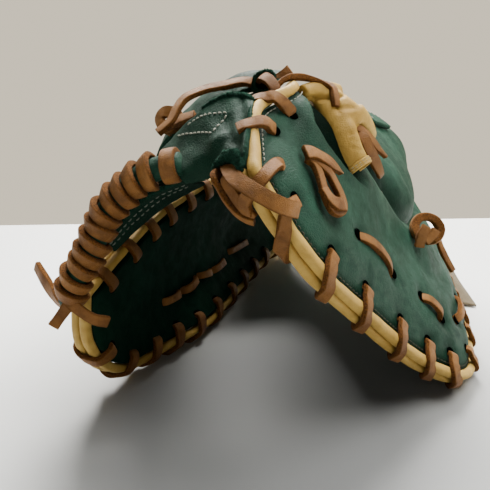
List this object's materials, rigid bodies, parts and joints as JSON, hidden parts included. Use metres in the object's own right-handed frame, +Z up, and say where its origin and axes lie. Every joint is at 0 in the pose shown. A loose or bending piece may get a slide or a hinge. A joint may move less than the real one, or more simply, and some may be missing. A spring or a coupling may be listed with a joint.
{
  "type": "first baseman mitt",
  "caption": "Leather first baseman mitt lying palm down, with a laced web, welted rims, rawhide lacing and a wrist strap.",
  "frame": {"origin": "on the surface the mitt rests on, under the middle of its bounding box", "axes": "+Y from the finger tips to the heel, +X from the thumb to the fingers, +Z up off the surface"},
  "size_m": [0.2284, 0.2854, 0.1575],
  "materials": {
    "back_leather": "smooth green leather, semi-matt",
    "palm_leather": "dark green leather, semi-matt",
    "web_leather": "green leather with raw cut edges",
    "welt_leather": "tan leather",
    "bridge_leather": "tan padded leather",
    "lacing": "oiled rawhide, smooth on one side",
    "lining_suede": "suede"
  },
  "bodies": {
    "root": {"palm": "palm_leather", "finger_back": "back_leather", "thumb_back": "back_leather", "finger_welt_back": "welt_leather", "finger_welt_palm": "welt_leather", "thumb_welt_back": "welt_leather", "thumb_welt_palm": "welt_leather", "finger_edge_lace": "lacing", "thumb_edge_lace": "lacing", "web_bar_core": "web_leather", "web_bar_lace": "lacing", "web_near_tab": "web_leather", "web_rear_strip": "web_leather", "web_basket": "web_leather", "slash_knot_lace": "lacing", "slash_lace_middle": "lacing", "slash_lace_outer": "lacing", "slash_lace_side": "lacing", "finger_bridge": "bridge_leather", "wrist_strap": "back_leather", "outer_knot_lace": "lacing", "web_knot_lace": "lacing", "bridge_arch_lace": "lacing", "tip_tail_lace": "lacing", "tip_lace": "lacing", "cross_lace_upper": "lacing", "cross_lace_lower": "lacing", "thumb_slash_front": "lacing", "thumb_slash_middle": "lacing", "thumb_slash_heel": "lacing", "lining_point": "lining_suede"}
  },
  "joints": []
}
